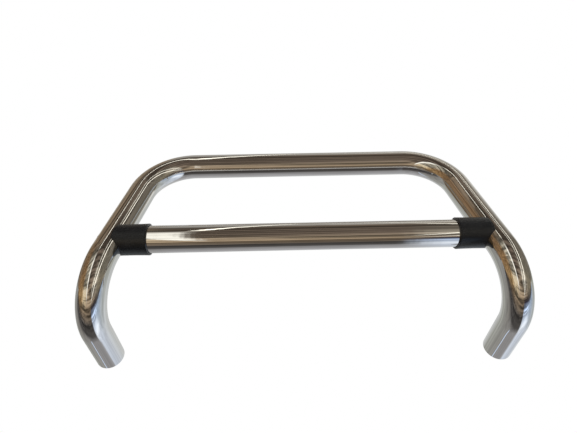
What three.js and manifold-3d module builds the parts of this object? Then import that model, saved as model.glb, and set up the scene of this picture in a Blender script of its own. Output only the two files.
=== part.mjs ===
// Front grille guard for a pickup or SUV: a hoop bent from one round tube, a straight cross tube bolted
// between its sides, and a moulded sleeve over each joint.
// Millimetres, +Z up, +Y back towards the vehicle, and +X to the right as seen from in front.
// The origin lies midway between the two leg ends, in the plane of their end faces.
import * as THREE from "three";
import { mergeVertices } from "three/addons/utils/BufferGeometryUtils.js";
import Module from "manifold-3d";

const wasm = await Module();
wasm.setup();

// ---- Driving dimensions --------------------------------------------------------------------------

// The hoop. Spacings are between centrelines, and the corners are where two straight centrelines would meet.
const tubeDiameter = 63.5;
const tubeWall = 2;
const bendRadius = 127;
const legSpacing = 928;
const topCornerSpacing = 775;
const hoopHeight = 432;
const legReach = 234;
const crossTubeHeight = 159;

// The sleeves and the saddles behind them, whose outer edges run parallel to the side tube.
const sleeveLength = 74;
const sleeveWall = 4.7;
const sleeveEdgeInset = 11.5;
const saddleEdgeInset = 18;

// The screw that holds each joint, an M10, and what goes with it.
const boltDiameter = 10;
const boltHeadDiameter = 16;
const boltHeadHeight = 10;
const boltSocketWidth = 8;
const boltSocketDepth = 5;
const boltTailLength = 3;
const boltChamfer = 1;
const springWasherDiameter = 18;
const springWasherThickness = 2.2;
const springWasherSlot = 2.5;
const saddleWasherDiameter = 22;
const saddleWasherEdge = 2;
const jointNutWidth = 17;
const jointNutHeight = 8;
const crossEndPlugThickness = 6;

// The hole that the screw is reached through, and its snap-in plug.
const accessHoleDiameter = 24;
const plugFlangeOverlap = 3;
const plugFlangeThickness = 2;
const plugWall = 1.8;
const plugLipHeight = 0.8;
const plugLipLength = 2.5;

// The welded end of each leg, with two M12 nuts behind it.
const legPlateThickness = 6;
const legHoleSpacing = 28;
const legBoltDiameter = 12;
const legNutWidth = 18;
const legNutHeight = 10;

// Clearances.
const seatGap = 0.3;
const boltHoleClearance = 0.5;
const crossTubeEndGap = 2;

// Fineness of the round shapes.
const tubeSides = 32;
const sleeveSides = 48;
const hardwareSides = 24;
const stepsPerBend = 10;

// How far a cutting shape runs past what it cuts.
const overrun = 1;

// ---- Sizes that follow ---------------------------------------------------------------------------

const tubeRadius = tubeDiameter / 2;
const boreRadius = tubeRadius - tubeWall;
const boltRadius = boltDiameter / 2;
const boltHoleRadius = boltRadius + boltHoleClearance;
const accessHoleRadius = accessHoleDiameter / 2;
const saddleWasherRadius = saddleWasherDiameter / 2;

// The side tube's lean from upright, and its centreline at the height of the cross tube.
const sideLean = Math.atan2((legSpacing - topCornerSpacing) / 2, hoopHeight);
const sideX = legSpacing / 2 - crossTubeHeight * Math.tan(sideLean);

// The cross tube stops short of the side tube, which comes nearest at the top of its end.
const sideInnerX = sideX - tubeRadius / Math.cos(sideLean);
const crossTubeEndX = sideInnerX - tubeRadius * Math.tan(sideLean) - crossTubeEndGap;

// The curved washer's flat face clears the bore's curve and slope all round its rim.
const boreSagitta = boreRadius - Math.sqrt(boreRadius ** 2 - saddleWasherRadius ** 2);
const saddleWasherFaceX =
  sideX -
  boreRadius / Math.cos(sideLean) +
  saddleWasherRadius * Math.tan(sideLean) +
  boreSagitta +
  saddleWasherEdge;
const springWasherX = saddleWasherFaceX + seatGap;
const boltHeadX = springWasherX + springWasherThickness + seatGap;
const crossEndPlugX = crossTubeEndX - crossEndPlugThickness;
const jointNutX = crossEndPlugX - seatGap - jointNutHeight;
const boltTailX = jointNutX - boltTailLength;

// The plug's lip catches behind the side tube's wall, below the nearest point of the bore.
const plugStemRadius = accessHoleRadius - seatGap;
const plugLipRadius = plugStemRadius + plugLipHeight;
const boreAtLip = Math.sqrt(boreRadius ** 2 - plugLipRadius ** 2) / Math.cos(sideLean);
const plugLipX = sideX + boreAtLip - plugLipRadius * Math.tan(sideLean) - seatGap;
const plugTipX = plugLipX - plugLipLength;

// ---- Materials -----------------------------------------------------------------------------------

const polishedSteel = new THREE.MeshStandardMaterial({ color: 0xc8c4bc, roughness: 0.08, metalness: 1 });
const weldedSteel = new THREE.MeshStandardMaterial({ color: 0x8d8f91, roughness: 0.45, metalness: 0.9 });
const zincPlate = new THREE.MeshStandardMaterial({ color: 0xaeb4ba, roughness: 0.35, metalness: 0.9 });
const castAluminium = new THREE.MeshStandardMaterial({ color: 0xb4b4b2, roughness: 0.5, metalness: 0.9 });
const blackRubber = new THREE.MeshStandardMaterial({ color: 0x242425, roughness: 0.6, metalness: 0 });
const blackPlastic = new THREE.MeshStandardMaterial({ color: 0x1d1d1e, roughness: 0.5, metalness: 0 });

// ---- Solids and outlines -------------------------------------------------------------------------

// A closed three.js shape as a solid that can be joined and cut.
function solid(geometry) {
  const bare = geometry.clone();
  bare.deleteAttribute("normal");
  bare.deleteAttribute("uv");
  const merged = mergeVertices(bare, 1e-4);
  const vertProperties = merged.attributes.position.array;
  const triVerts = new Uint32Array(merged.index.array);
  return new wasm.Manifold(new wasm.Mesh({ numProp: 3, vertProperties, triVerts }));
}

// The joined or cut solid as a three.js geometry again.
function geometryOf(shape) {
  const { vertProperties, triVerts } = shape.getMesh();
  const geometry = new THREE.BufferGeometry();
  geometry.setAttribute("position", new THREE.BufferAttribute(vertProperties, 3));
  geometry.setIndex(new THREE.BufferAttribute(triVerts, 1));
  geometry.computeVertexNormals();
  return geometry;
}

function circle(radius, holes = []) {
  const outline = new THREE.Shape();
  outline.absarc(0, 0, radius, 0, 2 * Math.PI, false);
  outline.holes.push(...holes);
  return outline;
}

function circleHole(radius, x = 0) {
  const hole = new THREE.Path();
  hole.absarc(x, 0, radius, 0, 2 * Math.PI, true);
  return hole;
}

// A hexagon with two flats across its own x.
function hexagon(widthAcrossFlats, holes = []) {
  const cornerRadius = widthAcrossFlats / 2 / Math.cos(Math.PI / 6);
  const corners = [];
  for (let i = 0; i < 6; i++) {
    const angle = ((i + 0.5) * Math.PI) / 3;
    corners.push(new THREE.Vector2(cornerRadius * Math.cos(angle), cornerRadius * Math.sin(angle)));
  }
  const outline = new THREE.Shape(corners);
  outline.holes.push(...holes);
  return outline;
}

function splitRing(outerRadius, innerRadius, slotWidth) {
  const outerAngle = Math.asin(slotWidth / 2 / outerRadius);
  const innerAngle = Math.asin(slotWidth / 2 / innerRadius);
  const outline = new THREE.Shape();
  outline.absarc(0, 0, outerRadius, outerAngle, 2 * Math.PI - outerAngle, false);
  outline.absarc(0, 0, innerRadius, 2 * Math.PI - innerAngle, innerAngle, true);
  return outline;
}

// An outline drawn out along +X from x to x + length, with its own y kept and its own x pointing down.
function alongX(outline, x, length, sides = hardwareSides) {
  const settings = { depth: length, bevelEnabled: false, curveSegments: sides / 2 };
  return new THREE.ExtrudeGeometry(outline, settings).rotateY(Math.PI / 2).translate(x, 0, 0);
}

// An outline drawn out along +Y, with its own x pointing up.
function alongY(outline, length, sides = hardwareSides) {
  const settings = { depth: length, bevelEnabled: false, curveSegments: sides / 2 };
  return new THREE.ExtrudeGeometry(outline, settings).rotateZ(Math.PI / 2).rotateX(-Math.PI / 2);
}

// A lathe profile of [distance along X, radius] points, turned round the X axis.
function turnedOnX(profile) {
  const points = profile.map(([x, radius]) => new THREE.Vector2(radius, x));
  return new THREE.LatheGeometry(points, hardwareSides).rotateZ(-Math.PI / 2);
}

// ---- The hoop's centreline -----------------------------------------------------------------------

// Straight runs between corners, with a bend of one radius at each corner. The parameter goes up by equal
// steps, one for a straight run and several for a bend, so that an extrusion puts its sections in the bends.
class BentCentreline extends THREE.Curve {
  constructor(corners, radius, bendSteps) {
    super();
    this.runs = [];
    let from = corners[0];
    for (let i = 1; i < corners.length - 1; i++) {
      const pointAt = bendAt(corners[i - 1], corners[i], corners[i + 1], radius);
      this.addStraight(from, pointAt(0));
      this.runs.push({ steps: bendSteps, pointAt });
      from = pointAt(1);
    }
    this.addStraight(from, corners.at(-1));
    this.steps = this.runs.reduce((sum, run) => sum + run.steps, 0);
  }

  addStraight(start, end) {
    this.runs.push({ steps: 1, pointAt: (share) => start.clone().lerp(end, share) });
  }

  getPoint(t) {
    let step = t * this.steps;
    for (const run of this.runs) {
      if (step <= run.steps || run === this.runs.at(-1)) return run.pointAt(step / run.steps);
      step -= run.steps;
    }
  }

  getUtoTmapping(u) {
    return u;
  }
}

// The round bend that touches the lines from before to corner and from corner to after, as a function from
// the share of the bend that is passed to a point.
function bendAt(before, corner, after, radius) {
  const inward = corner.clone().sub(before).normalize();
  const outward = after.clone().sub(corner).normalize();
  const turn = inward.angleTo(outward);
  const start = corner.clone().addScaledVector(inward, -radius * Math.tan(turn / 2));
  const towardsCentre = outward.clone().addScaledVector(inward, -inward.dot(outward)).normalize();
  const centre = start.clone().addScaledVector(towardsCentre, radius);
  return (share) =>
    centre
      .clone()
      .addScaledVector(towardsCentre, -radius * Math.cos(share * turn))
      .addScaledVector(inward, radius * Math.sin(share * turn));
}

const hoopCentreline = new BentCentreline(
  [
    new THREE.Vector3(-legSpacing / 2, 0, 0),
    new THREE.Vector3(-legSpacing / 2, -legReach, 0),
    new THREE.Vector3(-topCornerSpacing / 2, -legReach, hoopHeight),
    new THREE.Vector3(topCornerSpacing / 2, -legReach, hoopHeight),
    new THREE.Vector3(legSpacing / 2, -legReach, 0),
    new THREE.Vector3(legSpacing / 2, 0, 0),
  ],
  bendRadius,
  stepsPerBend,
);

function alongHoop(section) {
  const extrudePath = hoopCentreline;
  const settings = { extrudePath, steps: extrudePath.steps, curveSegments: tubeSides / 2 };
  return new THREE.ExtrudeGeometry(section, settings);
}

// ---- The joint between the cross tube and a side tube ----------------------------------------------

// These shapes lie in the right joint's own frame: its origin is the middle of the cross tube, +X runs out
// along the cross tube and +Z is up. The left joint is the same, mirrored.

// A solid bar on the hoop's centreline, in the joint's frame, for what is cut or shaped to the side tube.
function hoopBar(radius) {
  return alongHoop(circle(radius)).translate(0, legReach, -crossTubeHeight);
}

// A block that ends at a plane parallel to the side tube, inset from its centreline towards the cross tube.
function blockInsetFromSide(inset) {
  const size = 6 * tubeDiameter;
  return new THREE.BoxGeometry(size, size, size)
    .translate(-size / 2 - inset, 0, 0)
    .rotateY(-sideLean)
    .translate(sideX, 0, 0);
}

// The sleeve's bore takes the cross tube and the saddle. Beyond the saddle its wall reaches in to the side
// tube.
function sleeveGeometry() {
  const startX = sideX - sleeveEdgeInset / Math.cos(sideLean) - sleeveLength;
  const length = sideX - startX + tubeRadius;
  const outside = solid(alongX(circle(tubeRadius + sleeveWall), startX, length, sleeveSides));
  const boreOutline = circle(tubeRadius + seatGap);
  const bore = solid(alongX(boreOutline, startX - overrun, length + overrun, sleeveSides));
  const boreReach = solid(blockInsetFromSide(saddleEdgeInset - seatGap));
  const shape = outside
    .intersect(solid(blockInsetFromSide(sleeveEdgeInset)))
    .subtract(bore.intersect(boreReach))
    .subtract(solid(hoopBar(tubeRadius + seatGap)));
  return geometryOf(shape);
}

function saddleGeometry() {
  const startX = crossTubeEndX + seatGap;
  const outline = circle(tubeRadius, [circleHole(boltHoleRadius)]);
  const shape = solid(alongX(outline, startX, sideX - startX, tubeSides))
    .intersect(solid(blockInsetFromSide(saddleEdgeInset)))
    .subtract(solid(hoopBar(tubeRadius + seatGap)));
  return geometryOf(shape);
}

function saddleWasherGeometry() {
  const outline = circle(saddleWasherRadius, [circleHole(boltHoleRadius)]);
  const startX = sideX - 2 * boreRadius;
  const blank = solid(alongX(outline, startX, saddleWasherFaceX - startX));
  return geometryOf(blank.intersect(solid(hoopBar(boreRadius - seatGap))));
}

function boltGeometry() {
  const headEndX = boltHeadX + boltHeadHeight;
  const body = solid(
    turnedOnX([
      [boltTailX, 0],
      [boltTailX, boltRadius - boltChamfer],
      [boltTailX + boltChamfer, boltRadius],
      [boltHeadX, boltRadius],
      [boltHeadX, boltHeadDiameter / 2],
      [headEndX - boltChamfer, boltHeadDiameter / 2],
      [headEndX, boltHeadDiameter / 2 - boltChamfer],
      [headEndX, 0],
    ]),
  );
  const socketX = headEndX - boltSocketDepth;
  const socket = solid(alongX(hexagon(boltSocketWidth), socketX, boltSocketDepth + overrun));
  return geometryOf(body.subtract(socket));
}

// The plug's flange follows the tube outside, and its hollow stem snaps in with a small lip behind the wall.
function accessPlugGeometry() {
  const crown = solid(hoopBar(tubeRadius + seatGap + plugFlangeThickness));
  const flangeRadius = accessHoleRadius + plugFlangeOverlap;
  const flange = solid(alongX(circle(flangeRadius), sideX, tubeDiameter, sleeveSides))
    .intersect(crown)
    .subtract(solid(hoopBar(tubeRadius + seatGap)));
  const hollowTopX = sideX + tubeRadius / Math.cos(sideLean) - flangeRadius * Math.tan(sideLean);
  const stem = solid(
    turnedOnX([
      [plugTipX, plugStemRadius - plugWall],
      [plugTipX, plugStemRadius - plugLipHeight],
      [plugLipX, plugLipRadius],
      [plugLipX, plugStemRadius],
      [sideX + tubeDiameter, plugStemRadius],
      [sideX + tubeDiameter, 0],
      [hollowTopX, 0],
      [hollowTopX, plugStemRadius - plugWall],
      [plugTipX, plugStemRadius - plugWall],
    ]),
  ).intersect(crown);
  return geometryOf(flange.add(stem));
}

// ---- The hoop, with its joint holes ----------------------------------------------------------------

const tubeSection = circle(tubeRadius, [circleHole(boreRadius)]);

function hoopGeometry() {
  let hoop = solid(alongHoop(tubeSection));
  for (const side of [-1, 1]) {
    const boltHole = alongX(circle(boltHoleRadius), sideX - tubeDiameter, tubeDiameter);
    const accessHole = alongX(circle(accessHoleRadius), sideX, tubeDiameter, tubeSides);
    for (const hole of [boltHole, accessHole]) {
      if (side < 0) hole.rotateZ(Math.PI);
      hoop = hoop.subtract(solid(hole.translate(0, -legReach, crossTubeHeight)));
    }
  }
  return geometryOf(hoop);
}

// ---- The leg ends ----------------------------------------------------------------------------------

function legPlateGeometry() {
  const holeRadius = legBoltDiameter / 2 + boltHoleClearance;
  const holes = [circleHole(holeRadius, legHoleSpacing / 2), circleHole(holeRadius, -legHoleSpacing / 2)];
  return alongY(circle(boreRadius - seatGap, holes), legPlateThickness, tubeSides);
}

// ---- Assembly --------------------------------------------------------------------------------------

const guard = new THREE.Group();

function place(parent, name, geometry, material, position = [0, 0, 0]) {
  const mesh = new THREE.Mesh(geometry, material);
  mesh.name = name;
  mesh.position.set(...position);
  parent.add(mesh);
}

const crossTubeGeometry = alongX(tubeSection, -crossTubeEndX, 2 * crossTubeEndX, tubeSides);
place(guard, "hoop_tube", hoopGeometry(), polishedSteel);
place(guard, "cross_tube", crossTubeGeometry, polishedSteel, [0, -legReach, crossTubeHeight]);

const endPlugOutline = circle(boreRadius - seatGap, [circleHole(boltHoleRadius)]);
const jointNutOutline = hexagon(jointNutWidth, [circleHole(boltRadius + seatGap)]);
const springWasherOutline = splitRing(springWasherDiameter / 2, boltHoleRadius, springWasherSlot);
const jointPieces = [
  ["joint_sleeve", sleeveGeometry(), blackRubber],
  ["joint_saddle", saddleGeometry(), castAluminium],
  ["cross_end_plug", alongX(endPlugOutline, crossEndPlugX, crossEndPlugThickness, tubeSides), weldedSteel],
  ["cross_end_nut", alongX(jointNutOutline, jointNutX, jointNutHeight), weldedSteel],
  ["joint_bolt", boltGeometry(), zincPlate],
  ["joint_spring_washer", alongX(springWasherOutline, springWasherX, springWasherThickness), zincPlate],
  ["joint_saddle_washer", saddleWasherGeometry(), zincPlate],
  ["access_plug", accessPlugGeometry(), blackPlastic],
];

const legNutGeometry = alongY(
  hexagon(legNutWidth, [circleHole(legBoltDiameter / 2 + seatGap)]),
  legNutHeight,
);
const legNutY = -legPlateThickness - seatGap - legNutHeight;

for (const [side, label] of [
  [-1, "left"],
  [1, "right"],
]) {
  const joint = new THREE.Group();
  joint.position.set(0, -legReach, crossTubeHeight);
  joint.scale.x = side;
  guard.add(joint);
  for (const [piece, geometry, material] of jointPieces) {
    place(joint, `${piece}_${label}`, geometry, material);
  }

  const legEnd = new THREE.Group();
  legEnd.position.x = (side * legSpacing) / 2;
  guard.add(legEnd);
  place(legEnd, `leg_end_plate_${label}`, legPlateGeometry(), weldedSteel, [0, -legPlateThickness, 0]);
  place(legEnd, `leg_nut_upper_${label}`, legNutGeometry, weldedSteel, [0, legNutY, legHoleSpacing / 2]);
  place(legEnd, `leg_nut_lower_${label}`, legNutGeometry, weldedSteel, [0, legNutY, -legHoleSpacing / 2]);
}

export default guard;
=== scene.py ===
import math

import bmesh
import bpy
from mathutils import Matrix, Vector


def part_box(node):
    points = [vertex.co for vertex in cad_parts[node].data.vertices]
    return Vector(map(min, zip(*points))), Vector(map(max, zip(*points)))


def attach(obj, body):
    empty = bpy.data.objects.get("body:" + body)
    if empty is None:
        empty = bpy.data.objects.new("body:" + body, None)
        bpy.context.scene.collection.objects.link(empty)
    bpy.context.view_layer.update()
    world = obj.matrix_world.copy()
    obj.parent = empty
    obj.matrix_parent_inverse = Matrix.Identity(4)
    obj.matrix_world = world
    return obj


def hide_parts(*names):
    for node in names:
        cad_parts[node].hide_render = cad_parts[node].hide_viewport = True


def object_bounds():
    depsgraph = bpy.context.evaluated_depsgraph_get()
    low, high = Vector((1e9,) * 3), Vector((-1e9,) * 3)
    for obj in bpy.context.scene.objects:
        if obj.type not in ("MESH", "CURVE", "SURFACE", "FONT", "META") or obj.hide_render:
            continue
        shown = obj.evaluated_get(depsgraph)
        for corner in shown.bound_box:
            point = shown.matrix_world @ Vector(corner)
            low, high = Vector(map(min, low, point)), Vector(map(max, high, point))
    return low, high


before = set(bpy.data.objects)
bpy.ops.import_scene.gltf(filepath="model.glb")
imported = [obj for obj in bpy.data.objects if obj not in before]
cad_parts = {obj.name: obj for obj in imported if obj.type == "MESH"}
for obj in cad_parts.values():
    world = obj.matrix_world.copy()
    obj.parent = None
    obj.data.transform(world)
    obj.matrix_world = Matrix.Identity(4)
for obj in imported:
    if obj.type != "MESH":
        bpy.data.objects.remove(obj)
cad_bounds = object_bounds()

# ---- The hoop --------------------------------------------------------------------------------------
# The guard is carried by one stainless tube, bent cold at four corners on the same former and then
# mirror polished from end to end. Its side runs are drilled for the joint screws before polishing.

cross_low, cross_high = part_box("cross_tube")
plate_low, plate_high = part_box("leg_end_plate_right")
tube_radius = (cross_high.z - cross_low.z) / 2
tube_wall = 0.002
bore_radius = tube_radius - tube_wall
hoop_plane = (cross_low.y + cross_high.y) / 2
cross_height = (cross_low.z + cross_high.z) / 2
hoop_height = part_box("hoop_tube")[1].z - tube_radius
leg_offset = (plate_low.x + plate_high.x) / 2
top_corner_offset = 0.3875
bend_radius = 0.127
tube_facets = 96
ring_spacing = 0.005
bend_steps = 48
sharp_corner = 35
side_lean = math.atan2(leg_offset - top_corner_offset, hoop_height)
side_offset = leg_offset - cross_height * math.tan(side_lean)


class Wire:
    """One output of a node tree: arithmetic on wires adds their Math nodes."""

    def __init__(self, tree, socket=None):
        self.tree = tree
        self.socket = socket

    def node(self, kind, settings=None, sockets=None, output=0):
        made = self.tree.nodes.new(kind)
        for name, value in (settings or {}).items():
            if name == "stops":
                ramp = made.color_ramp
                while len(ramp.elements) < len(value):
                    ramp.elements.new(0.5)
                for element, (place, colour) in zip(ramp.elements, value):
                    element.position = place
                    element.color = colour
            else:
                setattr(made, name, value)
        for name, value in (sockets or {}).items():
            if isinstance(value, Wire):
                self.tree.links.new(value.socket, made.inputs[name])
            else:
                made.inputs[name].default_value = value
        return Wire(self.tree, made.outputs[output] if len(made.outputs) else None)

    def sum_of(self, operation, *values):
        return self.node("ShaderNodeMath", {"operation": operation}, dict(enumerate(values)))

    def __add__(self, other):
        return self.sum_of("ADD", self, other)

    def __sub__(self, other):
        return self.sum_of("SUBTRACT", self, other)

    def __rsub__(self, other):
        return self.sum_of("SUBTRACT", other, self)

    def __mul__(self, other):
        return self.sum_of("MULTIPLY", self, other)

    def __truediv__(self, other):
        return self.sum_of("DIVIDE", self, other)

    __radd__ = __add__
    __rmul__ = __mul__

    def between(self, low, high):
        """0 below low, 1 above high and a smooth step in between, or the other way round."""
        settings = {"interpolation_type": "SMOOTHSTEP"}
        if low > high:
            return 1 - self.between(high, low)
        return self.node(
            "ShaderNodeMapRange", settings, {"Value": self, "From Min": low, "From Max": high}
        )

    def mixed(self, zero, one):
        """The colour that goes from zero to one as this wire does."""
        return self.node("ShaderNodeMix", {"data_type": "RGBA"}, {0: self, 6: zero, 7: one}, 2)

    def grain(self, scale, detail=2.0, roughness=0.5, distortion=0.0):
        """Noise that takes its place from this vector."""
        sockets = {
            "Vector": self,
            "Scale": scale,
            "Detail": detail,
            "Roughness": roughness,
            "Distortion": distortion,
        }
        return self.node("ShaderNodeTexNoise", None, sockets)

    def stretched(self, *scale):
        return self.node(
            "ShaderNodeVectorMath", {"operation": "MULTIPLY"}, {0: self, 1: scale}
        )


def start_finish(name):
    """A new material with only its output, and a wire to build its nodes from."""
    material = bpy.data.materials.new(name)
    material.use_nodes = True
    material.node_tree.nodes.clear()
    return material, Wire(material.node_tree)


def close_finish(tree, sockets, bump=None, bump_distance=0.0):
    """The shader itself: the constants stay on its own sockets."""
    if bump is not None:
        lumps = {"Height": bump, "Distance": bump_distance, "Strength": 1.0}
        sockets = dict(sockets, Normal=tree.node("ShaderNodeBump", None, lumps))
    shader = tree.node("ShaderNodeBsdfPrincipled", None, sockets)
    tree.node("ShaderNodeOutputMaterial", None, {"Surface": shader})


polished_steel, steel = start_finish("polished_steel")
tube_lay = steel.node("ShaderNodeAttribute", {"attribute_name": "lay"}, None, "Vector")
place = steel.node("ShaderNodeTexCoord", None, None, "Object")
smudges = place.grain(9.0, 4.0, 0.6).between(0.5, 0.72)
buffing = tube_lay.stretched(2200.0, 2200.0, 18.0).grain(1.0, 2.0, 0.6)
swirls = tube_lay.stretched(60.0, 60.0, 900.0).grain(1.0, 3.0, 0.6)
pits = place.grain(900.0, 1.0, 0.4).between(0.74, 0.80)
steel_roughness = 0.018 + 0.05 * smudges + 0.012 * buffing + 0.10 * pits
waviness = place.grain(26.0, 2.0, 0.4) + 0.05 * place.grain(140.0, 1.0, 0.4)
steel_colour = smudges.mixed((0.80, 0.79, 0.775, 1), (0.76, 0.745, 0.72, 1))
close_finish(
    steel,
    {"Base Color": steel_colour, "Metallic": 1.0, "Roughness": steel_roughness},
    bump=waviness + 0.004 * swirls,
    bump_distance=0.0002,
)

bending = bpy.data.node_groups.new("bent_tube", "GeometryNodeTree")
sizes = {
    "Bend Radius": bend_radius,
    "Tube Radius": tube_radius,
    "Wall": tube_wall,
    "Ring Spacing": ring_spacing,
}
bending.interface.new_socket("Geometry", in_out="INPUT", socket_type="NodeSocketGeometry")
for label in sizes:
    bending.interface.new_socket(label, in_out="INPUT", socket_type="NodeSocketFloat")
bending.interface.new_socket("Facets", in_out="INPUT", socket_type="NodeSocketInt")
bending.interface.new_socket("Material", in_out="INPUT", socket_type="NodeSocketMaterial")
bending.interface.new_socket("Geometry", in_out="OUTPUT", socket_type="NodeSocketGeometry")
given = bending.nodes.new("NodeGroupInput")


def given_size(label):
    return Wire(bending, given.outputs[label])


tube = Wire(bending)
centreline = tube.node("GeometryNodeMeshToCurve", None, {"Mesh": given_size("Geometry")})
centreline = tube.node(
    "GeometryNodeFilletCurve",
    {"mode": "POLY"},
    {"Curve": centreline, "Radius": given_size("Bend Radius"), "Count": bend_steps},
)
centreline = tube.node(
    "GeometryNodeResampleCurve",
    {"mode": "LENGTH"},
    {"Curve": centreline, "Length": given_size("Ring Spacing")},
)
travelled = tube.node("GeometryNodeSplineParameter", None, None, "Length")
centreline = tube.node(
    "GeometryNodeStoreNamedAttribute",
    {"data_type": "FLOAT", "domain": "POINT"},
    {"Geometry": centreline, "Name": "travelled", "Value": travelled},
)


def tube_skin(radius):
    """A wall surface on the centreline, with each facet's place round the tube kept with it."""
    ring = tube.node(
        "GeometryNodeCurvePrimitiveCircle",
        {"mode": "RADIUS"},
        {"Resolution": given_size("Facets"), "Radius": radius},
    )
    ring = tube.node(
        "GeometryNodeStoreNamedAttribute",
        {"data_type": "FLOAT_VECTOR", "domain": "POINT"},
        {"Geometry": ring, "Name": "round", "Value": tube.node("GeometryNodeInputPosition")},
    )
    return tube.node("GeometryNodeCurveToMesh", None, {"Curve": centreline, "Profile Curve": ring})


outer_skin = tube_skin(given_size("Tube Radius"))
bore_skin = tube_skin(given_size("Tube Radius") - given_size("Wall"))
bore_skin = tube.node("GeometryNodeFlipFaces", None, {"Mesh": bore_skin})
both_skins = tube.node("GeometryNodeJoinGeometry", None, {"Geometry": outer_skin})
bending.links.new(bore_skin.socket, both_skins.socket.node.inputs["Geometry"])
shaded = tube.node("GeometryNodeSetShadeSmooth", None, {0: both_skins})
made_real = tube.node("GeometryNodeRealizeInstances", None, {"Geometry": shaded})
finished = tube.node(
    "GeometryNodeSetMaterial", None, {"Geometry": made_real, "Material": given_size("Material")}
)
tube.node("NodeGroupOutput", None, {"Geometry": finished})


def bend_tube(name, corners):
    """A tube with a wall, bent at the corners and open at both ends, as a plain mesh."""
    path = bpy.data.meshes.new(name)
    path.from_pydata(corners, [(i, i + 1) for i in range(len(corners) - 1)], [])
    blank = bpy.data.objects.new(name + "_path", path)
    bpy.context.scene.collection.objects.link(blank)
    bender = blank.modifiers.new("bender", "NODES")
    bender.node_group = bending
    values = dict(sizes, Facets=tube_facets, Material=polished_steel)
    for item in bending.interface.items_tree:
        if item.in_out == "INPUT" and item.name in values:
            bender[item.identifier] = values[item.name]
    graph = bpy.context.evaluated_depsgraph_get()
    mesh = bpy.data.meshes.new_from_object(blank.evaluated_get(graph), depsgraph=graph)
    bpy.data.objects.remove(blank)
    mesh.name = name
    mesh.materials.clear()
    mesh.materials.append(polished_steel)
    mesh.polygons.foreach_set("material_index", [0] * len(mesh.polygons))
    return mesh


def add_piece(name, mesh):
    piece = bpy.data.objects.new(name, mesh)
    bpy.context.scene.collection.objects.link(piece)
    return piece


def close_ends(shape):
    """Joins the outer skin to the bore with a flat ring at each open end."""
    edges = [edge for edge in shape.edges if edge.is_boundary]
    for side in (-1, 1):
        end = [edge for edge in edges if edge.verts[0].co.x * side > 0]
        bmesh.ops.bridge_loops(shape, edges=end)


def side_skin(skin_radius, y, z, side, face):
    """The x of a side tube's skin at y and z from the joint's axis, on its inner or outer face."""
    across = face * math.sqrt(max(skin_radius**2 - y**2, 0.0))
    return side * (side_offset + (across - z * math.sin(side_lean)) / math.cos(side_lean))


def drill_side(shape, side, face, hole_radius, reach):
    """A round hole along X through one wall of a side tube, with a fan of clean faces round it."""
    axis = Vector((0, hoop_plane, cross_height))
    searched = 0.05
    rim_searched = 0.03
    on_skin = tube_wall / 3
    rims = []
    for skin_radius in (tube_radius, bore_radius):
        spoiled = []
        for poly in shape.faces:
            middle = poly.calc_center_median() - axis
            if side * middle.x < side_offset - searched:
                continue
            if math.hypot(middle.y, middle.z) > searched:
                continue
            skin_x = side_skin(skin_radius, middle.y, middle.z, side, face)
            bearing = math.asin(max(-1.0, min(1.0, middle.y / skin_radius)))
            outwards = side * middle.x - side_offset
            along = middle.z * math.cos(side_lean) - outwards * math.sin(side_lean)
            along += face * skin_radius * math.tan(side_lean)
            inside = max(abs(bearing) * tube_radius, abs(along)) < reach
            if abs(middle.x - skin_x) < on_skin and inside:
                spoiled.append(poly)
        bmesh.ops.delete(shape, geom=spoiled, context="FACES")
        rim = []
        for edge in shape.edges:
            if edge.is_boundary:
                for corner in edge.verts:
                    offset = corner.co - axis
                    skin_x = side_skin(skin_radius, offset.y, offset.z, side, face)
                    if abs(offset.x - skin_x) < on_skin and offset.yz.length < rim_searched:
                        if corner not in rim:
                            rim.append(corner)
        rim.sort(key=lambda corner: math.atan2(corner.co.z - axis.z, corner.co.y - axis.y))
        rims.append(rim)
    fans = []
    for skin_radius, rim in zip((tube_radius, bore_radius), rims):
        ring = rim
        for share in (0.5, 1.0):
            inner = []
            for corner in rim:
                offset = (corner.co - axis).yz
                aim = offset.normalized() * hole_radius
                y, z = offset.lerp(aim, share)
                x = side_skin(skin_radius, y, z, side, face)
                inner.append(shape.verts.new(axis + Vector((x, y, z)), corner))
            for i in range(len(rim)):
                k = (i + 1) % len(rim)
                shape.faces.new((ring[i], ring[k], inner[k], inner[i])).smooth = True
            ring = inner
        fans.append(ring)
    edges = []
    for ring in fans:
        for i in range(len(ring)):
            edge = shape.edges.get((ring[i], ring[(i + 1) % len(ring)]))
            edges.append(edge)
    bmesh.ops.bridge_loops(shape, edges=edges)


def settle(shape, mesh, sharp_angle=sharp_corner):
    """Merges doubles, turns every face outwards and keeps only the real corners sharp."""
    bmesh.ops.remove_doubles(shape, verts=shape.verts, dist=1e-6)
    bmesh.ops.recalc_face_normals(shape, faces=shape.faces)
    for poly in shape.faces:
        poly.smooth = True
    for edge in shape.edges:
        flat = len(edge.link_faces) != 2 or edge.calc_face_angle(0) < math.radians(sharp_angle)
        edge.smooth = flat
    shape.to_mesh(mesh)
    shape.free()
    mesh.update()


def keep_lay(mesh):
    """Rolls the place round the tube and the distance along it into one vector for the finish."""
    lay = mesh.attributes.new("lay", "FLOAT_VECTOR", "POINT")
    around = mesh.attributes["round"].data
    travelled = mesh.attributes["travelled"].data
    for i, spot in enumerate(lay.data):
        spot.vector = (around[i].vector[0], around[i].vector[1], travelled[i].value)


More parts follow.
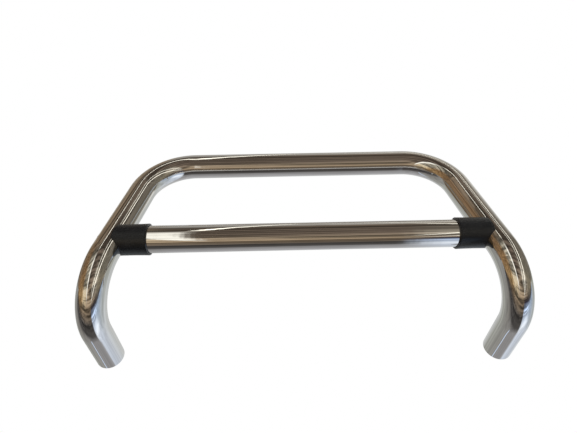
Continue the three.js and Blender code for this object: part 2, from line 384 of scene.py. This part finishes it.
hoop_corners = [
    (-leg_offset, 0, 0),
    (-leg_offset, hoop_plane, 0),
    (-top_corner_offset, hoop_plane, hoop_height),
    (top_corner_offset, hoop_plane, hoop_height),
    (leg_offset, hoop_plane, 0),
    (leg_offset, 0, 0),
]
hoop_mesh = bend_tube("hoop", hoop_corners)
hoop_shape = bmesh.new()
hoop_shape.from_mesh(hoop_mesh)
close_ends(hoop_shape)
access_hole_radius = 0.012
access_hole_reach = 0.0165
screw_hole_radius = 0.0055
screw_hole_reach = 0.010
for side in (-1, 1):
    drill_side(hoop_shape, side, 1, access_hole_radius, access_hole_reach)
    drill_side(hoop_shape, side, -1, screw_hole_radius, screw_hole_reach)
settle(hoop_shape, hoop_mesh)
keep_lay(hoop_mesh)
hoop = add_piece("hoop", hoop_mesh)
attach(hoop, "root")
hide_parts("hoop_tube")

# ---- The cross tube --------------------------------------------------------------------------------
# A straight length of the same polished tube, sawn square at both ends. It carries no weld outside: a
# plug with a nut on its back is welded into each end, for the joint screws to pull on.

cross_corners = [(cross_low.x, hoop_plane, cross_height), (cross_high.x, hoop_plane, cross_height)]
cross_mesh = bend_tube("cross_bar", cross_corners)
cross_shape = bmesh.new()
cross_shape.from_mesh(cross_mesh)
close_ends(cross_shape)
settle(cross_shape, cross_mesh)
keep_lay(cross_mesh)
cross_bar = add_piece("cross_bar", cross_mesh)
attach(cross_bar, "root")
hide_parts("cross_tube")

# ---- The sleeves -----------------------------------------------------------------------------------
# A moulded rubber sleeve hides each joint. It is pushed over the end of the cross tube and its coped
# end hugs the side tube, with two short horns that reach round the front and the back.

sleeve_low, sleeve_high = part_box("joint_sleeve_right")
sleeve_outer_radius = (sleeve_high.z - sleeve_low.z) / 2
sleeve_clearance = 0.0003
sleeve_bore_radius = tube_radius + sleeve_clearance
sleeve_rim_x = sleeve_low.x
sleeve_edge_inset = 0.0115
sleeve_edge_rounding = 0.0009
sleeve_taper = 0.0005
sleeve_waist = 0.0004
sleeve_sharp_corner = 40
sleeve_facets = 144
sleeve_wall_steps = 14


def sleeve_end_x(radius, turn):
    """Where the sleeve's wall ends, at its coped edge or at the flat across its horns."""
    y = -radius * math.cos(turn)
    z = radius * math.sin(turn)
    cope = math.sqrt(max((tube_radius + sleeve_clearance) ** 2 - y**2, 0.0))
    inboard = -max(sleeve_edge_inset, cope)
    return side_offset + (inboard - z * math.sin(side_lean)) / math.cos(side_lean)


def sleeve_section(turn):
    """The closed outline of the wall at one place round the sleeve, as [x, radius] points."""
    soft = sleeve_edge_rounding
    end = sleeve_end_x(sleeve_outer_radius, turn)
    points = []
    for step in range(5):
        angle = math.radians(90 * step / 4)
        x = sleeve_rim_x + soft * (1 - math.sin(angle))
        points.append((x, sleeve_outer_radius - soft * (1 - math.cos(angle))))
    points.reverse()
    for step in range(1, sleeve_wall_steps + 1):
        share = step / (sleeve_wall_steps + 1)
        narrowing = sleeve_taper * share + sleeve_waist * math.sin(math.pi * share)
        x = sleeve_rim_x + soft + (end - sleeve_rim_x - 2 * soft) * share
        points.append((x, sleeve_outer_radius - narrowing))
    for step in range(4):
        angle = math.radians(90 * step / 3)
        radius = sleeve_outer_radius - sleeve_taper - soft * (1 - math.cos(angle))
        points.append((end - soft * (1 - math.sin(angle)), radius))
    for step in range(1, 6):
        radius = sleeve_outer_radius - sleeve_taper - soft
        radius += (sleeve_bore_radius - radius) * step / 5
        points.append((sleeve_end_x(radius, turn), radius))
    inner_end = points[-1][0]
    for share in (0.75, 0.5, 0.25):
        x = sleeve_rim_x + (inner_end - sleeve_rim_x) * share
        points.append((x, sleeve_bore_radius))
    points.append((sleeve_rim_x + soft / 2, sleeve_bore_radius))
    points.append((sleeve_rim_x, sleeve_bore_radius + soft / 2))
    return points


black_rubber, rubber = start_finish("black_rubber")
rubber_place = rubber.node("ShaderNodeTexCoord", None, None, "Object")
leather = rubber_place.grain(1500.0, 3.0, 0.6)
flow = rubber_place.stretched(20.0, 90.0, 90.0).grain(1.0, 3.0, 0.5)
bloom = rubber_place.grain(38.0, 4.0, 0.65).between(0.48, 0.75)
scuffs = rubber_place.stretched(900.0, 160.0, 160.0).grain(1.0, 2.0, 0.7).between(0.66, 0.76)
rubber_colour = bloom.mixed((0.0045, 0.0052, 0.0066, 1), (0.0090, 0.0098, 0.0114, 1))
rubber_colour = (0.5 * scuffs).mixed(rubber_colour, (0.06, 0.06, 0.062, 1))
close_finish(
    rubber,
    {
        "Base Color": rubber_colour,
        "Roughness": 0.27 + 0.10 * bloom + 0.06 * flow,
        "Specular IOR Level": 0.40,
    },
    bump=leather + 0.6 * flow,
    bump_distance=0.00007,
)


def turn_shape(name, facets, section, place, sharp_angle=sharp_corner):
    """A solid from an outline that may change as it is carried round, each point put by place()."""
    shape = bmesh.new()
    loops = []
    for i in range(facets):
        turn = 2 * math.pi * i / facets
        loop = [shape.verts.new(place(along, radius, turn)) for along, radius in section(turn)]
        loops.append(loop)
    outline = section(0.0)
    open_at_axis = outline[0][1] == 0 and outline[-1][1] == 0
    steps = len(outline) - 1 if open_at_axis else len(outline)
    for i, loop in enumerate(loops):
        following = loops[(i + 1) % facets]
        for k in range(steps):
            n = (k + 1) % len(loop)
            shape.faces.new((loop[k], following[k], following[n], loop[n]))
    mesh = bpy.data.meshes.new(name)
    settle(shape, mesh, sharp_angle)
    return mesh


for side, label in ((-1, "left"), (1, "right")):

    def on_the_joint(x, radius, turn):
        y = hoop_plane - radius * math.cos(turn)
        z = cross_height + radius * math.sin(turn)
        return side * x, y, z

    sleeve_mesh = turn_shape(
        "sleeve_" + label, sleeve_facets, sleeve_section, on_the_joint, sleeve_sharp_corner
    )
    sleeve_mesh.materials.append(black_rubber)
    sleeve = add_piece("sleeve_" + label, sleeve_mesh)
    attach(sleeve, "root")
    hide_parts("joint_sleeve_" + label)

# ---- The screws and what they pull on --------------------------------------------------------------
# Inside each joint a zinc plated socket screw runs from the side tube, through a cast saddle, into
# the nut behind the cross tube's end plug. A curved washer and a spring washer sit under its head.


def plain_metal(name, light, dark, roughness, grain_scale, bump_distance):
    material, tree = start_finish(name)
    spot = tree.node("ShaderNodeTexCoord", None, None, "Object")
    clouds = spot.grain(grain_scale, 4.0, 0.6).between(0.35, 0.7)
    speck = spot.grain(grain_scale * 14, 2.0, 0.6)
    close_finish(
        tree,
        {
            "Base Color": clouds.mixed(light, dark),
            "Metallic": 1.0,
            "Roughness": roughness + 0.15 * clouds + 0.08 * speck,
        },
        bump=speck + 0.4 * clouds,
        bump_distance=bump_distance,
    )
    return material


zinc_plate = plain_metal(
    "zinc_plate", (0.62, 0.64, 0.67, 1), (0.50, 0.53, 0.60, 1), 0.24, 160.0, 0.00003
)
cast_saddle = plain_metal(
    "cast_saddle", (0.56, 0.56, 0.55, 1), (0.42, 0.42, 0.41, 1), 0.46, 240.0, 0.00020
)
welded_steel = plain_metal(
    "welded_steel", (0.46, 0.46, 0.46, 1), (0.27, 0.25, 0.23, 1), 0.38, 120.0, 0.00010
)
for label in ("left", "right"):
    finishes = {
        "joint_saddle": (cast_saddle, "cast_saddle"),
        "cross_end_plug": (welded_steel, "welded_steel"),
        "joint_spring_washer": (zinc_plate, "zinc_plate"),
        "joint_saddle_washer": (zinc_plate, "zinc_plate"),
    }
    for piece_name, (finish, slot_name) in finishes.items():
        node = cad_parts[f"{piece_name}_{label}"]
        node.data.materials.clear()
        node.data.materials.append(finish)

bolt_low, bolt_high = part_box("joint_bolt_right")
bolt_length = bolt_high.x - bolt_low.x
head_radius = (bolt_high.z - bolt_low.z) / 2
head_height = 0.010
shank_radius = 0.005
bolt_chamfer = 0.001
thread_runout = 0.006
bolt_facets = 96
bolt_sharp_corner = 50
socket_width = 0.008
socket_depth = 0.005
knurl_ridges = 32
knurl_depth = 0.00018
bolt_pitch = 0.0015
thread_depth = 0.0006
nut_thread_depth = 0.0005
nut_face_share = 0.95
nut_corner_angle = 30
nut_facets = 72


def hexagon(width, turn):
    """The reach of a hexagon, given the width across its flats, with a corner at turn 0."""
    return width / 2 / math.cos(turn % (math.pi / 3) - math.pi / 6)


def thread(along, turn, pitch, depth):
    """How deep a single start thread is cut at one place."""
    share = (along / pitch - turn / (2 * math.pi)) % 1.0
    return depth * abs(2 * share - 1)


def bolt_section(turn):
    """A socket head cap screw from the tip of its thread to the floor of its socket."""
    under_head = bolt_length - head_height
    thread_end = under_head - thread_runout
    points = [(0.0, 0.0), (0.0, shank_radius - bolt_chamfer)]
    steps = round((thread_end - bolt_chamfer) / bolt_pitch) * 5
    for step in range(steps + 1):
        along = bolt_chamfer + (thread_end - bolt_chamfer) * step / steps
        fade = min(1.0, (thread_end - along) / bolt_pitch, (along - bolt_chamfer) / bolt_pitch)
        points.append((along, shank_radius - thread(along, turn, bolt_pitch, thread_depth) * fade))
    ridge = knurl_depth * abs(math.sin(turn * knurl_ridges / 2))
    socket = hexagon(socket_width, turn)
    points.append((under_head, shank_radius))
    points.append((under_head, head_radius - 0.0006))
    points.append((under_head + 0.0006, head_radius - 0.0002))
    points.append((under_head + 0.0012, head_radius - ridge))
    points.append((bolt_length - 0.0018, head_radius - ridge))
    points.append((bolt_length - 0.0010, head_radius - 0.0002))
    points.append((bolt_length - 0.0004, head_radius - 0.0005))
    points.append((bolt_length, head_radius - 0.0011))
    points.append((bolt_length, socket_width / 2 + 0.0010))
    points.append((bolt_length - 0.0005, socket))
    points.append((bolt_length - socket_depth, socket))
    points.append((bolt_length - socket_depth - 0.0012, 0.0))
    return points


def nut_section(width, height, hole_radius, pitch):
    """A hexagon nut with both faces chamfered and a thread cut through it."""
    face_radius = nut_face_share * width / 2
    ease = 0.0007

    def section(turn):
        reach = hexagon(width, turn)
        drop = (reach - face_radius) * math.tan(math.radians(nut_corner_angle))
        points = [(0.0, hole_radius + ease), (0.0, face_radius), (drop, reach)]
        points += [(height - drop, reach), (height, face_radius), (height, hole_radius + ease)]
        steps = round((height - 2 * ease) / pitch) * 6
        for step in range(steps + 1):
            along = height - ease - (height - 2 * ease) * step / steps
            fade = 0.0 if step in (0, steps) else 1.0
            cut = thread(along, turn, pitch, nut_thread_depth) * fade
            points.append((along, hole_radius - nut_thread_depth * fade + cut))
        return points

    return section


def add_hardware(name, label, mesh, finish, node_name):
    mesh.materials.append(finish)
    piece = add_piece(f"{name}_{label}", mesh)
    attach(piece, "root")
    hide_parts(f"{node_name}_{label}")


joint_nut_low, joint_nut_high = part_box("cross_end_nut_right")
joint_nut_width = 0.017
joint_nut_hole = 0.0055
joint_nut_height = joint_nut_high.x - joint_nut_low.x
joint_nut_rise = joint_nut_high.z - joint_nut_low.z
joint_nut_flats_up = joint_nut_rise < joint_nut_width + 0.001
joint_nut_section = nut_section(joint_nut_width, joint_nut_height, joint_nut_hole, bolt_pitch)
for side, label in ((-1, "left"), (1, "right")):

    def beside_the_joint(start, corner_turn):
        def place(along, radius, turn):
            y = hoop_plane + radius * math.cos(turn + corner_turn)
            z = cross_height + radius * math.sin(turn + corner_turn)
            return side * (start + along), y, z

        return place

    screw_place = beside_the_joint(bolt_low.x, 0)
    screw = turn_shape(
        "joint_screw_" + label, bolt_facets, bolt_section, screw_place, bolt_sharp_corner
    )
    add_hardware("joint_screw", label, screw, zinc_plate, "joint_bolt")
    corner_turn = 0.0 if joint_nut_flats_up else math.pi / 6
    nut_place = beside_the_joint(joint_nut_low.x, corner_turn)
    nut = turn_shape("plug_nut_" + label, nut_facets, joint_nut_section, nut_place)
    add_hardware("plug_nut", label, nut, welded_steel, "cross_end_nut")

# ---- The caps --------------------------------------------------------------------------------------
# A screwdriver reaches each screw through a hole in the outside of the side tube. A moulded black cap
# closes it: a low crown that follows the tube, and a short stem with a lip that snaps behind the wall.

cap_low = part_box("access_plug_right")[0]
cap_rim_radius = 0.015
cap_stem_radius = access_hole_radius - 0.0003
cap_lip_radius = cap_stem_radius + 0.0008
cap_wall = 0.0018
cap_seat = 0.0003
cap_lip_length = 0.0025
cap_hollow = 0.0004
cap_facets = 96
cap_sharp_corner = 50


def cap_section(turn):
    """The crown from its middle out, over its rim, then the stem, the lip and the hollow inside."""

    def above_skin(lift, radius):
        y = radius * math.cos(turn)
        z = radius * math.sin(turn)
        return side_skin(tube_radius + lift, y, z, 1, 1), radius

    crown = ((0.0012, 0.0), (0.0012, 0.0010), (0.0016, 0.0013), (0.0016, 0.0060), (0.00155, 0.0100))
    crown += ((0.0014, 0.0124), (0.0012, 0.0128), (0.0012, 0.0132), (0.0010, 0.0142))
    crown += ((0.00075, 0.0147), (0.0005, cap_rim_radius - 0.0001), (cap_seat, cap_rim_radius - 0.0003))
    points = [above_skin(lift, radius) for lift, radius in crown]
    points.append(above_skin(cap_seat, cap_stem_radius))
    lip_x = cap_low.x + cap_lip_length
    points.append((lip_x, cap_stem_radius))
    points.append((lip_x - 0.0002, cap_lip_radius))
    points.append((lip_x - 0.0008, cap_lip_radius))
    points.append((cap_low.x, cap_stem_radius - 0.0002))
    points.append((cap_low.x, cap_stem_radius - cap_wall))
    points.append(above_skin(-0.0006, cap_stem_radius - cap_wall))
    points.append(above_skin(-cap_hollow, 0.0060))
    points.append(above_skin(-cap_hollow, 0.0))
    return points


black_plastic, plastic = start_finish("black_plastic")
plastic_place = plastic.node("ShaderNodeTexCoord", None, None, "Object")
spark_grain = plastic_place.grain(2400.0, 2.0, 0.6)
handling = plastic_place.grain(120.0, 4.0, 0.6).between(0.5, 0.72)
plastic_colour = handling.mixed((0.010, 0.010, 0.011, 1), (0.019, 0.019, 0.020, 1))
close_finish(
    plastic,
    {
        "Base Color": plastic_colour,
        "Roughness": 0.58 + 0.12 * spark_grain - 0.10 * handling,
        "Specular IOR Level": 0.3,
    },
    bump=spark_grain,
    bump_distance=0.00006,
)
for side, label in ((-1, "left"), (1, "right")):

    def in_the_side_hole(x, radius, turn):
        y = hoop_plane + radius * math.cos(turn)
        z = cross_height + radius * math.sin(turn)
        return side * x, y, z

    cap = turn_shape(
        "access_cap_" + label, cap_facets, cap_section, in_the_side_hole, cap_sharp_corner
    )
    add_hardware("access_cap", label, cap, black_plastic, "access_plug")

# ---- The leg ends ----------------------------------------------------------------------------------
# A steel plate is welded into the end of each leg and the bead ground nearly flush, which leaves it
# heat tinted. Two nuts are welded behind the plate for the screws that hold the guard to the car.

plate_thickness = plate_high.y - plate_low.y
plate_radius = (plate_high.z - plate_low.z) / 2
leg_hole_radius = 0.0065
leg_hole_offset = 0.014
leg_hole_ease = 0.0009
bead_width = 0.0042
bead_height = 0.0007
bead_ripples = 42
bead_ripple_share = 0.35
plate_edge_ease = 0.0004
plate_sharp_corner = 40
plate_facets = bead_ripples * 6
hole_facets = 48


def plate_edge(turn):
    """The rim of the plate from the flat of its face, over the rippled bead, to its back."""
    ripple = 1 - bead_ripple_share + bead_ripple_share * abs(math.sin(turn * bead_ripples / 2))
    face = -bead_height
    points = [(face, plate_radius - bead_width)]
    for step in range(1, 7):
        swing = math.pi * step / 7
        y = face + bead_height * math.sin(swing) * ripple
        points.append((y, plate_radius - bead_width * (0.5 + 0.5 * math.cos(swing))))
    points.append((face - 0.0002, plate_radius))
    points.append((-plate_thickness + plate_edge_ease, plate_radius))
    points.append((-plate_thickness, plate_radius - plate_edge_ease))
    return points


def hole_edge(turn):
    """One hole of the plate, eased at both faces."""
    points = [(-bead_height, leg_hole_radius + leg_hole_ease)]
    points.append((-bead_height - leg_hole_ease, leg_hole_radius))
    points.append((-plate_thickness + leg_hole_ease / 2, leg_hole_radius))
    points.append((-plate_thickness, leg_hole_radius + leg_hole_ease / 2))
    return points


def leg_plate(name, side):
    shape = bmesh.new()
    flats = ([], [])
    for outline, facets, rise in (
        (plate_edge, plate_facets, 0.0),
        (hole_edge, hole_facets, leg_hole_offset),
        (hole_edge, hole_facets, -leg_hole_offset),
    ):
        loops = []
        for i in range(facets):
            turn = 2 * math.pi * i / facets
            loop = []
            for y, radius in outline(turn):
                x = side * leg_offset + radius * math.cos(turn)
                loop.append(shape.verts.new((x, y, rise + radius * math.sin(turn))))
            loops.append(loop)
        for i, loop in enumerate(loops):
            following = loops[(i + 1) % facets]
            for k in range(len(loop) - 1):
                shape.faces.new((loop[k], following[k], following[k + 1], loop[k + 1]))
            flats[0].append(shape.edges.get((loop[0], following[0])))
            flats[1].append(shape.edges.get((loop[-1], following[-1])))
    for edges in flats:
        bmesh.ops.triangle_fill(shape, edges=edges, use_beauty=True)
    mesh = bpy.data.meshes.new(name)
    settle(shape, mesh, plate_sharp_corner)
    return mesh


ground_plate, ground = start_finish("ground_plate")
ground_place = ground.node("ShaderNodeTexCoord", None, None, "Object")
split_place = {"Vector": ground_place}
across = ground.node("ShaderNodeSeparateXYZ", None, split_place, "X")
upwards = ground.node("ShaderNodeSeparateXYZ", None, split_place, "Z")
from_leg = ground.sum_of("ABSOLUTE", across) - leg_offset
from_axis = ground.sum_of("SQRT", from_leg * from_leg + upwards * upwards)
from_rim = plate_radius - bead_width - from_axis + 0.0012 * ground_place.grain(160.0, 3.0, 0.6)
straw = from_rim.between(0.0045, 0.0010)
blue = from_rim.between(0.0016, 0.0006)
burnt = from_rim.between(0.0006, -0.0004)
grinding = ground_place.stretched(260.0, 900.0, 3200.0).grain(1.0, 3.0, 0.65)
plate_rust = ground_place.grain(210.0, 4.0, 0.65).between(0.60, 0.74)
plate_colour = straw.mixed((0.47, 0.465, 0.46, 1), (0.43, 0.33, 0.19, 1))
plate_colour = blue.mixed(plate_colour, (0.20, 0.20, 0.26, 1))
plate_colour = burnt.mixed(plate_colour, (0.30, 0.28, 0.26, 1))
plate_colour = (0.7 * plate_rust).mixed(plate_colour, (0.20, 0.105, 0.05, 1))
close_finish(
    ground,
    {
        "Base Color": plate_colour,
        "Metallic": 1.0 - 0.6 * plate_rust,
        "Roughness": 0.30 + 0.12 * grinding + 0.30 * plate_rust,
    },
    bump=grinding + 0.5 * plate_rust,
    bump_distance=0.00006,
)

leg_nut_width = 0.018
leg_nut_hole = 0.0063
leg_nut_pitch = 0.00175
for side, label in ((-1, "left"), (1, "right")):
    plate = leg_plate("leg_plate_" + label, side)
    add_hardware("leg_plate", label, plate, ground_plate, "leg_end_plate")
    for level in ("upper", "lower"):
        nut_low, nut_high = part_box(f"leg_nut_{level}_{label}")
        nut_middle = (nut_low + nut_high) / 2
        flats_across = nut_high.x - nut_low.x < nut_high.z - nut_low.z

        def behind_the_plate(along, radius, turn):
            turned = turn + (math.pi / 2 if flats_across else 0.0)
            x = nut_middle.x + radius * math.cos(turned)
            return x, nut_low.y + along, nut_middle.z + radius * math.sin(turned)

        leg_nut_section = nut_section(
            leg_nut_width, nut_high.y - nut_low.y, leg_nut_hole, leg_nut_pitch
        )
        nut_name = f"leg_nut_{level}_{label}"
        nut = turn_shape(nut_name, nut_facets, leg_nut_section, behind_the_plate)
        add_hardware(
            f"{level}_leg_nut", label, nut, welded_steel, f"leg_nut_{level}"
        )

# ---- The studio ------------------------------------------------------------------------------------
# A pale floor well below the guard, a soft light on each side and a plain pale surround. Mirrors see a
# room instead: brown boards overhead, a doorway, light strips, an even grey low wall and a pale floor.

camera_place = (-0.0392, -0.9522, -0.5308)
camera_lens = 27.02
camera_sensor_width = 36.0
towards_camera = Vector((-0.0071, -0.6884, -0.7253)).normalized()
picture_up = Vector((0.0202, -0.7252, 0.6882))
picture_up = (picture_up - picture_up.dot(towards_camera) * towards_camera).normalized()
picture_right = picture_up.cross(towards_camera)
camera_data = bpy.data.cameras.new("camera")
camera_data.sensor_width = camera_sensor_width
camera_data.lens = camera_lens
camera = bpy.data.objects.new("camera", camera_data)
turning = Matrix((picture_right, picture_up, towards_camera)).transposed()
camera.matrix_world = Matrix.Translation(camera_place) @ turning.to_4x4()
bpy.context.scene.collection.objects.link(camera)
bpy.context.scene.camera = camera
bpy.context.scene.view_settings.view_transform = "Standard"

steel_reflectance = 0.79


def tone(red, green, blue):
    """A linear colour from its three 0 to 255 display values, brightened for the steel's own loss."""
    linear = [((v / 255 + 0.055) / 1.055) ** 2.4 / steel_reflectance for v in (red, green, blue)]
    return (*linear, 1.0)


surround = bpy.data.worlds.new("surround")
bpy.context.scene.world = surround
surround.use_nodes = True
surround.node_tree.nodes.clear()
room = Wire(surround.node_tree)
heading = room.node("ShaderNodeTexCoord", None, None, "Generated")


def part_along(direction):
    return room.node(
        "ShaderNodeVectorMath", {"operation": "DOT_PRODUCT"}, {0: heading, 1: direction}, "Value"
    )


sideways = part_along((1, 0, 0))
forwards = part_along((0, -1, 0))
pitch = room.sum_of("ARCTAN2", part_along(-picture_up), part_along(towards_camera))
pitch = pitch * (180 / math.pi)
overhead = forwards.between(0.02, 0.15)
ceiling_reach = room.sum_of("MAXIMUM", forwards, 0.05)
across_ceiling = sideways / ceiling_reach
along_ceiling = part_along((0, 0, 1)) / ceiling_reach


def band(*stops):
    """A ramp of room colours by pitch: -180 and 180 are behind the guard and 0 is at the camera."""
    places = [((degrees + 180) / 360, tone(*colour)) for degrees, colour in stops]
    return room.node("ShaderNodeValToRGB", {"stops": places}, {"Fac": (pitch + 180) / 360})


def strip(value, middle, half_width, softness):
    """1 on a line where the value is at its middle, and 0 away from it."""
    near = value.between(middle - half_width - softness, middle - half_width)
    return near * value.between(middle + half_width + softness, middle + half_width)


def lined(pitch_scale, sideways_scale, low, high):
    """Long boards and streaks that run across the room, 0 on the dark ones and 1 on the light."""
    spot = {"X": pitch * pitch_scale, "Y": sideways * sideways_scale, "Z": 0.0}
    return room.node("ShaderNodeCombineXYZ", None, spot).grain(1.0, 3.0, 0.55).between(low, high)


boards = lined(0.075, 0.8, 0.42, 0.58)
board_gaps = lined(0.155, 0.55, 0.40, 0.52)
cloudy = heading.grain(5.0, 5.0, 0.65, 0.8).between(0.34, 0.66)
mottled = heading.grain(9.0, 6.0, 0.75, 1.4).between(0.38, 0.62)
middle_band = band(
    (-180, (228, 228, 228)),
    (-150, (160, 157, 152)),
    (-106, (150, 146, 139)),
    (-97, (90, 80, 70)),
    (-35, (92, 81, 71)),
    (-12, (114, 101, 88)),
    (2, (142, 127, 108)),
    (24, (140, 123, 102)),
    (36, (112, 98, 82)),
    (50, (96, 87, 77)),
    (58, (70, 67, 65)),
    (80, (70, 68, 67)),
    (92, (132, 131, 132)),
    (135, (164, 164, 167)),
    (180, (186, 188, 186)),
)
left_band = band(
    (-180, (160, 152, 140)),
    (-140, (134, 124, 110)),
    (-118, (128, 112, 94)),
    (-80, (118, 104, 88)),
    (-62, (146, 140, 126)),
    (-15, (176, 168, 150)),
    (14, (176, 160, 132)),
    (36, (112, 98, 82)),
    (50, (96, 87, 77)),
    (58, (70, 67, 65)),
    (80, (70, 68, 67)),
    (92, (128, 126, 124)),
    (180, (160, 162, 156)),
)
right_band = band(
    (-180, (215, 215, 212)),
    (-140, (182, 180, 174)),
    (-112, (112, 105, 96)),
    (-80, (84, 77, 68)),
    (-40, (108, 101, 90)),
    (0, (166, 158, 144)),
    (22, (128, 114, 98)),
    (34, (54, 52, 66)),
    (46, (176, 194, 222)),
    (82, (232, 240, 250)),
    (96, (196, 204, 217)),
    (110, (186, 194, 206)),
    (128, (188, 194, 203)),
    (180, (182, 184, 180)),
)
far_left_band = band(
    (-180, (104, 90, 74)),
    (-150, (120, 104, 84)),
    (-110, (112, 90, 68)),
    (-30, (128, 101, 70)),
    (14, (150, 123, 86)),
    (36, (98, 84, 68)),
    (58, (70, 67, 65)),
    (80, (70, 68, 67)),
    (104, (120, 117, 113)),
    (180, (142, 143, 140)),
)
far_right_band = band(
    (-180, (108, 104, 94)),
    (-157, (112, 108, 98)),
    (-125, (96, 90, 80)),
    (-100, (104, 98, 88)),
    (-40, (104, 99, 87)),
    (10, (122, 113, 96)),
    (36, (60, 58, 62)),
    (50, (150, 166, 186)),
    (100, (166, 174, 182)),
    (180, (160, 161, 152)),
)
room_colour = sideways.between(-0.24, -0.36).mixed(middle_band, left_band)
room_colour = sideways.between(0.24, 0.36).mixed(room_colour, right_band)
room_colour = sideways.between(-0.56, -0.80).mixed(room_colour, far_left_band)
room_colour = sideways.between(0.62, 0.84).mixed(room_colour, far_right_band)

overhead_streaks = pitch.between(-120, -100) * pitch.between(75, 55)
overhead_streaks = overhead_streaks * sideways.between(-0.88, -0.60) * sideways.between(0.88, 0.60)
streaks = (0.46 + 0.86 * boards) * (0.54 + 0.58 * board_gaps)
room_light = 1 - overhead_streaks + overhead_streaks * streaks
wood_side = sideways.between(-0.30, -0.60) * pitch.between(95, 70)
room_light = room_light * (1 - 0.55 * wood_side + 0.95 * wood_side * mottled)
far_wall = sideways.between(0.45, 0.70) * pitch.between(80, 50)
room_light = room_light * (1 - 0.30 * far_wall + 0.60 * far_wall * mottled)
room_light = room_light * (0.86 + 0.28 * cloudy)

ceiling_edge = across_ceiling - 0.06 * along_ceiling
doorway = ceiling_edge.between(-0.195, -0.270) * ceiling_edge.between(-0.39, -0.34)
doorway = doorway * along_ceiling.between(0.35, 0.05) * pitch.between(32, 24) * overhead
doorway = doorway * sideways.between(-0.165, -0.245)
left_strip = strip(ceiling_edge, -0.245, 0.012, 0.018) * overhead * pitch.between(-60, -75)
right_strip = strip(across_ceiling, 0.53, 0.012, 0.020) * overhead * sideways.between(0.25, 0.33)
far_strip = strip(across_ceiling, 0.92, 0.025, 0.035) * overhead
strips = room.sum_of("MAXIMUM", left_strip, 0.8 * right_strip)
strips = room.sum_of("MAXIMUM", strips, far_strip)
strips = strips * pitch.between(28, 14)
low_strip = strip(sideways, -0.36, 0.014, 0.014) * pitch.between(90, 95) * pitch.between(140, 120)
room_colour = doorway.mixed(room_colour, tone(246, 243, 232))
room_colour = strips.mixed(room_colour, tone(244, 240, 226))
room_colour = low_strip.mixed(room_colour, tone(196, 212, 236))
lit = room.sum_of("MAXIMUM", doorway, strips)
room_light = room_light * (1 - lit) + (0.86 + 0.24 * board_gaps + 0.9 * strips) * lit
mirrored = room.node("ShaderNodeBackground", None, {"Color": room_colour, "Strength": room_light})
plain = room.node("ShaderNodeBackground", None, {"Color": (1.0, 1.0, 1.0, 1), "Strength": 1.0})
is_mirror = room.node("ShaderNodeLightPath", None, None, "Is Glossy Ray")
seen = room.node("ShaderNodeMixShader", None, {0: is_mirror, 1: plain, 2: mirrored})
room.node("ShaderNodeOutputWorld", None, {"Surface": seen})

floor_half_size = 7.0
floor_drop = 1.2
floor_height = cad_bounds[0].z - floor_drop
floor_signs = ((-1, -1), (1, -1), (1, 1), (-1, 1))
floor_corners = [(x * floor_half_size, y * floor_half_size, floor_height) for x, y in floor_signs]
floor_mesh = bpy.data.meshes.new("floor")
floor_mesh.from_pydata(floor_corners, [], [(0, 1, 2, 3)])
floor_paint, paint = start_finish("floor_paint")
close_finish(paint, {"Base Color": (0.82, 0.82, 0.81, 1), "Roughness": 0.9})
floor_mesh.materials.append(floor_paint)
floor = add_piece("floor", floor_mesh)
floor.visible_glossy = False


light_size = 1.2
light_offset = 1.6
light_height = 1.8
for side, power in ((-1, 20.0), (1, 26.0)):
    light_data = bpy.data.lights.new("soft_light", "AREA")
    light_data.shape = "RECTANGLE"
    light_data.size = light_size
    light_data.size_y = light_size
    light_data.energy = power
    soft_light = bpy.data.objects.new("soft_light", light_data)
    soft_light.location = (side * light_offset, -light_offset, light_height)
    aim = Vector((0, -0.15, 0.2)) - soft_light.location
    soft_light.rotation_mode = "QUATERNION"
    soft_light.rotation_quaternion = aim.to_track_quat("-Z", "Y")
    soft_light.visible_glossy = False
    bpy.context.scene.collection.objects.link(soft_light)
